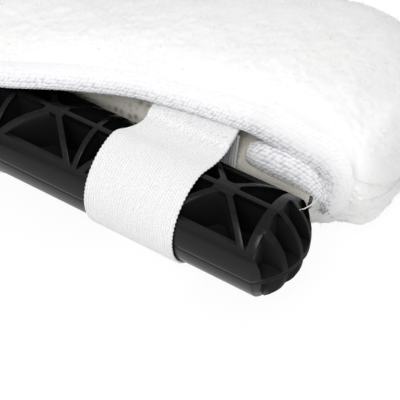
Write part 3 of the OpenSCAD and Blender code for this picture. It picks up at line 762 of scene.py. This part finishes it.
# Fibre tips that stand out of the pile: one small cone, scattered over the sleeve and leaning at random
def makeTufts(base):
    bm = bmesh.new()
    bmesh.ops.create_cone(bm, cap_ends=False, segments=3, radius1=tufts["width"] / 2 * mm,
                          radius2=tufts["tip"] * mm, depth=tufts["length"] * mm)
    bmesh.ops.translate(bm, verts=bm.verts, vec=(0, 0, tufts["length"] * tufts["out"] * mm))
    tip = meshObject("fibreTip", bm, pile)
    tree = bpy.data.node_groups.new("scatterFibres", "GeometryNodeTree")
    tree.interface.new_socket("Geometry", in_out="INPUT", socket_type="NodeSocketGeometry")
    tree.interface.new_socket("Geometry", in_out="OUTPUT", socket_type="NodeSocketGeometry")
    source = addNode(tree, "NodeGroupInput")
    rise = addNode(tree, "GeometryNodeInputNamedAttribute", {"Name": "level"}, data_type="FLOAT")
    density = addNode(tree, "ShaderNodeMath", {0: rise.outputs["Attribute"], 1: tufts["perSquareMetre"]},
                      operation="MULTIPLY")
    points = addNode(tree, "GeometryNodeDistributePointsOnFaces", {"Mesh": source.outputs[0],
                     "Density": density.outputs[0], "Seed": tufts["seed"]})
    lean = addNode(tree, "FunctionNodeRandomValue", {0: (-tufts["lean"], -tufts["lean"], 0.0),
                   1: (tufts["lean"], tufts["lean"], 6.28), "Seed": tufts["seed"]},
                   data_type="FLOAT_VECTOR")
    turned = addNode(tree, "FunctionNodeRotateEuler", {"Rotation": points.outputs["Rotation"],
                     "Rotate By": lean.outputs[0]}, space="LOCAL")
    shape = addNode(tree, "GeometryNodeObjectInfo", {"Object": tip})
    size = addNode(tree, "FunctionNodeRandomValue", {2: tufts["sizes"][0], 3: tufts["sizes"][1],
                   "Seed": tufts["seed"] + 1}, data_type="FLOAT")
    placed = addNode(tree, "GeometryNodeInstanceOnPoints", {"Points": points.outputs["Points"],
                     "Instance": shape.outputs["Geometry"], "Rotation": turned.outputs[0],
                     "Scale": size.outputs[1]})
    real = addNode(tree, "GeometryNodeRealizeInstances", {"Geometry": placed.outputs[0]})
    addNode(tree, "NodeGroupOutput", {"Geometry": real.outputs[0]})
    scatter = base.modifiers.new("scatter", "NODES")
    scatter.node_group = tree
    seen = base.evaluated_get(bpy.context.evaluated_depsgraph_get())
    mesh = bpy.data.meshes.new_from_object(seen)
    base.modifiers.remove(scatter)
    bpy.data.objects.remove(tip)
    mesh.materials.clear()
    mesh.materials.append(pile)
    obj = bpy.data.objects.new("pileFibres", mesh)
    bpy.context.scene.collection.objects.link(obj)
    for v in mesh.vertices:
        v.co.z = max(v.co.z, 0.0)
    print("fibre tips:", len(mesh.polygons) // 3)
    return finishPiece(obj, "bar", "pile")


makeTufts(pileSleeve)
print("pile fibres scattered")

binding = {
    "thick": 5.0, "around": 48, "step": 0.37, "cap": 3.0, "relief": 0.4, "gap": (0.28, 0.6),
    "round": 24, "tip": (0.45, 0.25), "halfRows": 40, "fine": 1500, "closed": 0.16,
    "opens": (7.0, 9.0), "closes": (15.2, 18.6),
    # where the straight run of the upper and of the lower tape stops
    "straight": {1: 157.0, 4: 158.0},
    # the upper tape turns down round the slit's end: x, y, height from the bar's axis, lean of its
    # face from the upright, how far the face looks sideways, half width, half thickness
    "turn": [
        (164.6, 29.6, 17.4, 28, 0.10, 6.0, 2.6), (169.3, 29.6, 13.6, 24, 0.20, 6.0, 2.7),
        (170.9, 29.4, 8.2, 20, 0.30, 5.8, 2.9), (169.8, 29.0, 2.4, 16, 0.30, 5.4, 3.0),
        (167.3, 28.6, -3.0, 14, 0.25, 4.8, 3.0), (164.2, 28.2, -6.6, 12, 0.20, 3.6, 2.6)],
}


def knitLevel(u, v):
    x, y = (row[0] * u + row[1] * v for row in (knit["across"], knit["along"]))
    return 1 - easy(*binding["gap"], math.hypot(x - round(x), y - round(y)))


# The knit lies open along the folded edge and close on the tape's face. v runs from 0 to "round".
def openness(v):
    closed = binding["closed"]
    return closed + (1 - closed) * (easy(*binding["opens"], v) - easy(*binding["closes"], v))


# Rows along half a tape from the middle to its right end, each like a row of "turn"
def tapeRows(side):
    rows = []
    for x in spread(0.0, binding["straight"][side], binding["halfRows"]):
        middle = edgeMiddle(x, side)
        lean = 90 - math.degrees(math.atan2(edgeHeading(x, side).y, edgeHeading(x, side).x))
        rows.append((x, middle.x, middle.y, lean, 0.0, tapeHalf(x, side), binding["thick"] / 2))
    return rows + (binding["turn"] if side == 1 else [])


# Points along a whole tape, "step" apart: where it is, its face's way and its way across
def tapeLine(side):
    rows = tapeRows(side)
    fine = [lineAt(rows, share) for share in spread(0.0, 1.0, binding["fine"])]
    total = lineLengths([Vector(p[:3]) for p in fine])
    count = int(total[-1] / binding["step"])
    half, k = [], 0
    for i in range(count + 1):
        distance = total[-1] * i / count
        while k < len(fine) - 2 and total[k + 1] < distance:
            k += 1
        row = fine[k].lerp(fine[k + 1], (distance - total[k]) / (total[k + 1] - total[k]))
        ahead = Vector((fine[min(len(fine) - 1, k + 6)] - fine[max(0, k - 6)])[:3]).normalized()
        lean = math.radians(row[3])
        face = Vector((row[4], -math.cos(lean), math.sin(lean)))
        across = face.cross(ahead).normalized()
        half.append((distance, total[-1] - distance, Vector(row[:3]), ahead.cross(across), across,
                     row[5], row[6]))
    mirror = Vector((-1, 1, 1))
    left = [(-d, rest, p * mirror, face * mirror, across * mirror, wide, thick)
            for d, rest, p, face, across, wide, thick in reversed(half[1:])]
    return left + half


def makeBinding(name, side, node):
    line = tapeLine(side)
    last, turns = len(line) - 1, binding["round"]
    wideTip, thickTip = binding["tip"]

    def place(a, b):
        distance, rest, middle, face, across, wide, thick = line[round(a * last)]
        turn = -2 * math.pi * closedShare(b)
        cap = math.sqrt(max(0.0, 1 - (1 - min(1.0, rest / binding["cap"])) ** 2))
        relief = (binding["relief"] * (knitLevel(distance, turns * b) - 1) * openness(turns * b)
                  * cap)
        p = (middle + across * math.cos(turn) * (wide * (wideTip + (1 - wideTip) * cap) + relief)
             + face * math.sin(turn) * (thick * (thickTip + (1 - thickTip) * cap) + relief))
        return Vector((p.x, p.y, max(0.0, p.z + bar["axisZ"])))

    bm = laidGrid(last, binding["around"], place,
                  uvOf=lambda a, b: (line[round(a * last)][0], b * turns),
                  levelOf=lambda a, b: openness(turns * b))
    closeShell(bm)
    obj = meshObject(name, bm, tape)
    return finishPiece(obj, "bar", "binding_tape", [node])


makeBinding("upperBinding", 1, "upper_binding")
makeBinding("lowerBinding", 4, "lower_binding")
print("bindings sewn")

# The tape's turned-in end lies as a roll under the upper tape at each end of the slit. Rows for the
# right end: x, y, the height from the bar's axis, and the half width and half thickness.
roll = {
    "rows": [
        (137.4, 24.4, 10.2, 2.2, 1.8), (138.3, 24.3, 10.5, 3.9, 3.0), (141.6, 24.2, 11.2, 5.0, 3.6),
        (147.2, 24.2, 11.4, 5.4, 3.8), (152.8, 24.4, 11.0, 5.4, 3.8), (158.2, 24.8, 10.0, 5.2, 3.8),
        (162.6, 25.4, 8.0, 4.8, 3.6), (165.6, 26.2, 5.0, 4.2, 3.4), (167.0, 27.2, 1.6, 3.4, 2.8),
        (167.6, 28.0, -0.8, 1.8, 1.5)],
    "steps": (110, 48), "lean": 62.0, "length": 38.0, "fade": 8,
}


def makeRoll(name, side):
    along = heading(roll["lean"])
    out = Vector((-along.y, along.x))
    turns, fade = binding["round"], roll["fade"]

    def place(a, b):
        x, y, z, wide, thick = lineAt(roll["rows"], a)
        turn = -2 * math.pi * closedShare(b)
        relief = (binding["relief"] * (knitLevel(a * roll["length"], turns * b) - 1)
                  * min(1.0, fade * a, fade * (1 - a)))
        p = (Vector((y, z)) + along * math.cos(turn) * (wide + relief)
             + out * math.sin(turn) * (thick + relief))
        return Vector((side * x, p.x, p.y + bar["axisZ"]))

    bm = laidGrid(*roll["steps"], place, uvOf=lambda a, b: (a * roll["length"], b * turns),
                  levelOf=lambda a, b: 1.0)
    closeShell(bm)
    return finishPiece(meshObject(name, bm, tape), "bar", "binding_tape")


makeRoll("rightHemRoll", 1)
makeRoll("leftHemRoll", -1)
print("hem ends turned in")

strap = {
    "width": 36.5, "far": 134.9, "inner": 18.2, "thick": 1.2, "top": 92.0, "back": -12.0,
    "tab": 28.0, "wales": 36, "steps": (330, 288), "waleDepth": 0.28,
    # the upper run is drawn aside and sags as it goes back to its stitching
    "skewLeft": 4.0, "skewRight": 1.2, "sagLeft": 2.4, "sagRight": 1.0,
    # small loops of yarn stand out of its two borders
    "loopReach": 0.17, "loopPitch": 1.6, "border": 0.015,
    "ridgeAt": 15.5, "ridge": 1.2, "pucker": 0.6, "puckerPitch": 4.1, "puckerFrom": (9.0, 15.0),
    # how far from its stitching the upper run has moved aside, bulges and begins to sag
    "movedAt": 13.0, "bulge": 24.0, "sagAt": 6.0,
    "course": 0.04, "coursePitch": 0.9, "hem": 0.02, "hemThin": 0.35,
    # points along the upper run, round the bar and up behind it
    "points": (28, 96, 16),
}


# Middle line of the loop from the end of its upper run, round the bar and up behind it
def strapLine():
    r = strap["inner"] + strap["thick"] / 2
    ahead = heading(strap["top"] - 90)
    run, turns, up = strap["points"]
    points = [heading(strap["top"]) * r + ahead * strap["tab"] * (1 - i / run)
              for i in range(run + 1)]
    points += [heading(strap["top"] + (360 + strap["back"] - strap["top"]) * i / turns) * r
               for i in range(1, turns + 1)]
    low = heading(strap["back"]) * r
    rise = heading(strap["back"] + 90)
    height = (points[run].y - strap["thick"] * 1.4 - low.y) / rise.y
    return points + [low + rise * height * i / up for i in range(1, up + 1)]


strapPoints = strapLine()
strapLengths = lineLengths(strapPoints)


def onStrap(distance):
    i = 0
    while i < len(strapPoints) - 2 and strapLengths[i + 1] < distance:
        i += 1
    share = (distance - strapLengths[i]) / (strapLengths[i + 1] - strapLengths[i])
    before = strapPoints[max(0, i - 1)]
    after = strapPoints[min(len(strapPoints) - 1, i + 2)]
    d = (after - before).normalized()
    return strapPoints[i].lerp(strapPoints[i + 1], share), Vector((d.y, -d.x))


# A point on the elastic: a across it, "distance" along it, and lift off its middle
def strapPoint(a, distance, lift, side):
    p, out = onStrap(distance)
    x = strap["far"] - strap["width"] * (1 - a)
    border = max(0.0, 1 - min(a, 1 - a) / strap["border"])
    x += (math.copysign(strap["loopReach"] * border, a - 0.5)
          * math.cos(2 * math.pi * distance / strap["loopPitch"]))
    upper = distance < strap["tab"]
    if upper:
        back = strap["tab"] - distance
        moved = easy(0.0, strap["movedAt"], back)
        bulge = math.sin(math.pi * min(1.0, back / strap["bulge"]))
        x += (1 - a) * strap["skewLeft"] * moved + a * strap["skewRight"] * bulge
        sag = (1 - a) * strap["sagLeft"] + a * strap["sagRight"]
        p = p - Vector((0.0, sag * bulge * easy(0.0, strap["sagAt"], back)))
        # The layer sewn on top ends in a soft ridge, and the stitches pucker it
        ridge = easy(strap["ridgeAt"] - 1.2, strap["ridgeAt"] + 0.6, back)
        pull = (math.cos(2 * math.pi * x / strap["puckerPitch"])
                * easy(*strap["puckerFrom"], back))
        if lift > 0:
            lift += strap["ridge"] * ridge + strap["pucker"] * pull * 0.5
    p = p + out * lift
    return Vector((side * x, p.x, p.y + bar["axisZ"]))


# The elastic's skin goes over its top from border to border and back along its underside
def makeElastic(name, side, node):
    total = strapLengths[-1]

    def across(b):
        return 2 * b if b <= 0.5 else 2 - 2 * b

    def place(along, b):
        b = closedShare(b)
        a, layer = across(b), 1 if b < 0.5 else -1
        wale = abs(math.sin(math.pi * a * strap["wales"]))
        hem = easy(0.0, strap["hem"], min(a, 1 - a))
        phase = math.pi * round(a * strap["wales"])
        course = strap["course"] * math.cos(2 * math.pi * along * total / strap["coursePitch"] + phase)
        thin = strap["hemThin"]
        lift = layer * strap["thick"] / 2 * (thin + (1 - thin) * hem)
        lift -= layer * (strap["waleDepth"] * (1 - wale) + course)
        return strapPoint(a, along * total, lift, side)

    bm = laidGrid(*strap["steps"], place,
                  uvOf=lambda along, b: (across(b) * strap["wales"], along * total))
    closeShell(bm)
    return finishPiece(meshObject(name, bm, elastic), "bar", "elastic_knit", [node])


makeElastic("rightElastic", 1, "right_elastic")
makeElastic("leftElastic", -1, "left_elastic")
print("elastics wrapped")

seam = {
    "thread": 0.28, "length": 2.1, "pitch": 2.5, "slant": 0.7,
    "upperRows": (14.4, 17.6), "lowerRows": (26.4, 24.8), "sides": 6, "steps": 7,
    # where the rows start off the border, how high a stitch arches on each face, and how deep it sits
    "start": 1.5, "arch": {1: 0.35, -1: 0.25}, "sunk": 0.15,
}


# A tube of thread through points, thinner towards its ends
def threadTube(points, radius):
    bm = bmesh.new()
    count = len(points)
    ring = None
    for i, p in enumerate(points):
        d = (points[min(i + 1, count - 1)] - points[max(i - 1, 0)]).normalized()
        turn = d.to_track_quat("Z", "Y").to_matrix().to_4x4()
        thin = 0.45 + 0.55 * math.sin(math.pi * (i + 0.35) / (count - 0.3))
        made = bmesh.ops.create_circle(bm, cap_ends=i in (0, count - 1), segments=seam["sides"],
                                       radius=radius * thin * mm,
                                       matrix=Matrix.Translation(p * mm) @ turn)
        edges = list({e for v in made["verts"] for e in v.link_edges})
        if ring:
            bmesh.ops.bridge_loops(bm, edges=ring + edges)
        ring = edges
    bmesh.ops.recalc_face_normals(bm, faces=bm.faces)
    return bm


# Rows of slanted stitches that close a loop: two under its upper run, and two that show on its top
def makeTack(name, side, node):
    bm = bmesh.new()
    for rows, lift in ((seam["upperRows"], 1), (seam["lowerRows"], -1)):
        for row, back in enumerate(rows):
            count = int((strap["width"] - 2 * seam["start"]) / seam["pitch"])
            for i in range(count):
                a = (seam["start"] + (i + 0.5 * row) * seam["pitch"]) / strap["width"]
                points = []
                for k in range(seam["steps"]):
                    t = k / (seam["steps"] - 1)
                    off = (t - 0.5) * seam["length"]
                    high = (strap["thick"] / 2 + seam["arch"][lift] * math.sin(math.pi * t)
                            - seam["sunk"])
                    distance = strap["tab"] - back - off * seam["slant"]
                    points.append(strapPoint(a + off / strap["width"], distance, lift * high, side))
                pour(bm, threadTube(points, seam["thread"]))
    return finishPiece(meshObject(name, bm, whiteThread), "bar", "thread", [node])


makeTack("rightTack", 1, "right_tack")
makeTack("leftTack", -1, "left_tack")
print("loops stitched")

loose = {
    # the loose end of the seam's thread: x, y, height from the bar's axis
    "end": [(164.8, 26.0, 1.1), (165.9, 24.0, 3.6), (166.6, 21.5, 5.4), (166.9, 19.5, 6.3),
            (167.1, 18.0, 7.0), (166.7, 16.5, 6.6), (166.5, 15.0, 7.2), (166.5, 13.5, 7.9),
            (166.6, 12.0, 9.0), (167.2, 9.8, 11.4), (168.0, 7.3, 13.7)],
    "thread": 0.24, "steps": 16,
    # the frayed strands: their middle, how far they spread from it, their thickness and their points
    "strands": 150, "seed": 5.0, "knot": (164.4, 25.3, -1.4), "spreadOut": (4.6, 0.8, 4.4),
    "strand": 0.13, "strandSteps": 7, "low": 0.3,
}


def makeLooseThread(name, side):
    bm = bmesh.new()
    line = [lineAt(loose["end"], share) for share in spread(0.0, 1.0, loose["steps"])]
    points = [Vector((side * x, y, z + bar["axisZ"])) for x, y, z in line]
    pour(bm, threadTube(points, loose["thread"]))
    return finishPiece(meshObject(name, bm, whiteThread), "bar", "thread")


# Frayed warp ends that stick out where the two bound edges are sewn together
def makeFray(name, side):
    bm = bmesh.new()
    for i in range(loose["strands"]):
        def chance(k):
            return noise.noise(Vector((i * 1.7 + loose["seed"], k * 2.3, side * 0.5)))

        start = Vector(loose["knot"]) + Vector([w * 1.6 * chance(k) for k, w in
                                                enumerate(loose["spreadOut"])])
        lean = Vector((2.4 * chance(4), -0.3 - 1.2 * abs(chance(5)), 2.4 * chance(6)))
        curl = Vector((1.6 * chance(7), 1.0 * chance(8), 1.6 * chance(9)))
        points = []
        for t in spread(0.0, 1.0, loose["strandSteps"]):
            p = start + lean * t + curl * t * t
            points.append(Vector((side * p.x, p.y, max(loose["low"], p.z + bar["axisZ"]))))
        pour(bm, threadTube(points, loose["strand"]))
    return finishPiece(meshObject(name, bm, greyThread), "bar", "thread")


makeLooseThread("looseThread", 1)
makeFray("rightFray", 1)
makeFray("leftFray", -1)
print("loose ends placed")
